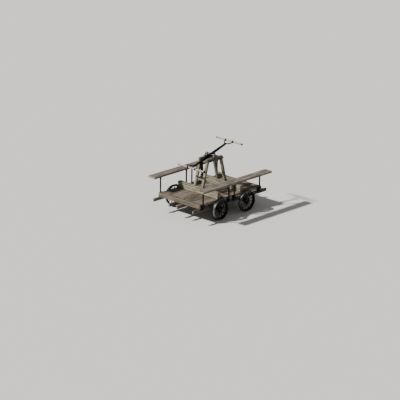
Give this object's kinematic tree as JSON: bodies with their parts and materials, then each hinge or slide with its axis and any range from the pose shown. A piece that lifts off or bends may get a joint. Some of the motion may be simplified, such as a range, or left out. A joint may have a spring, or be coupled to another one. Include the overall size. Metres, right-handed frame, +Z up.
{
  "type": "railway handcar",
  "caption": "Hand-pumped railway handcar with a plank deck, side benches, A-frame, walking beam with T-bars, gear drive and flanged wheels.",
  "frame": {"origin": "centre of the object's footprint, on the floor under the wheel flanges", "axes": "+X along the track, towards the end with the raised T-bar; +Y across the track, away from the viewer; +Z up"},
  "size_m": [2.352, 1.69, 1.4691],
  "materials": {
    "deck_wood": "weathered bare planks",
    "bench_wood": "weathered bare timber",
    "frame_wood": "bleached grey sawn timber",
    "handle_wood": "worn smooth round bar",
    "black_iron": "black oiled iron",
    "wheel_iron": "black iron, treads worn",
    "steel": "dull grey turned steel"
  },
  "bodies": {
    "chassis": {"side_sill_near": "frame_wood", "side_sill_far": "frame_wood", "inner_sill_near": "frame_wood", "inner_sill_far": "frame_wood", "end_beam_left": "deck_wood", "end_beam_right": "deck_wood", "deck_planks_near": "deck_wood", "deck_planks_far": "deck_wood", "middle_plank_left": "deck_wood", "middle_plank_right": "deck_wood", "joist_left": "frame_wood", "joist_right": "frame_wood", "bolster_left": "frame_wood", "bolster_right": "frame_wood", "leg_left_near": "frame_wood", "leg_left_far": "frame_wood", "leg_right_near": "frame_wood", "leg_right_far": "frame_wood", "rung_left": "frame_wood", "rung_right": "frame_wood", "top_bar_near": "frame_wood", "top_bar_far": "frame_wood", "pillow_block_near": "steel", "pillow_block_far": "steel", "bench_near": "bench_wood", "bench_far": "bench_wood", "post_near_1": "black_iron", "post_near_2": "black_iron", "post_near_3": "black_iron", "post_near_4": "black_iron", "post_far_1": "black_iron", "post_far_2": "black_iron", "post_far_3": "black_iron", "post_far_4": "black_iron", "axle_box_left_near": "black_iron", "axle_box_left_far": "black_iron", "axle_box_right_near": "black_iron", "axle_box_right_far": "black_iron", "crank_bearing_inner": "black_iron", "crank_bearing_outer": "black_iron"},
    "drive_wheelset": {"drive_axle": "steel", "drive_wheel_near": "wheel_iron", "drive_wheel_far": "wheel_iron", "drive_pinion": "black_iron"},
    "idler_wheelset": {"idler_axle": "steel", "idler_wheel_near": "wheel_iron", "idler_wheel_far": "wheel_iron"},
    "crank": {"bull_gear": "black_iron", "crankshaft": "steel"},
    "walking_beam": {"walking_beam": "black_iron", "pivot_shaft": "steel", "t_bar_left": "handle_wood", "t_bar_right": "handle_wood"},
    "connecting_rod": {"connecting_rod": "black_iron"}
  },
  "joints": [
    {"name": "drive_axle_spin", "type": "hinge", "parent": "chassis", "child": "drive_wheelset", "pos_m": [-0.43, 0, 0.25], "axis": [0, 1, 0], "continuous": true},
    {"name": "idler_axle_spin", "type": "hinge", "parent": "chassis", "child": "idler_wheelset", "pos_m": [0.43, 0, 0.25], "axis": [0, 1, 0], "continuous": true},
    {"name": "crank_spin", "type": "hinge", "parent": "chassis", "child": "crank", "pos_m": [-0.20816, 0, 0.219], "axis": [0, 1, 0], "continuous": true},
    {"name": "beam_rock", "type": "hinge", "parent": "chassis", "child": "walking_beam", "pos_m": [0, 0, 1.254], "axis": [0, 1, 0], "range_deg": [0, 34]},
    {"name": "rod_swing", "type": "hinge", "parent": "walking_beam", "child": "connecting_rod", "pos_m": [-0.2888, 0, 1.1657], "axis": [0, 1, 0], "range_deg": [-34, 0]}
  ],
  "couplings": [
    {"joint": "crank_spin", "follows": "drive_axle_spin", "ratio": -0.33333},
    {"joint": "rod_swing", "follows": "beam_rock", "ratio": -1}
  ]
}
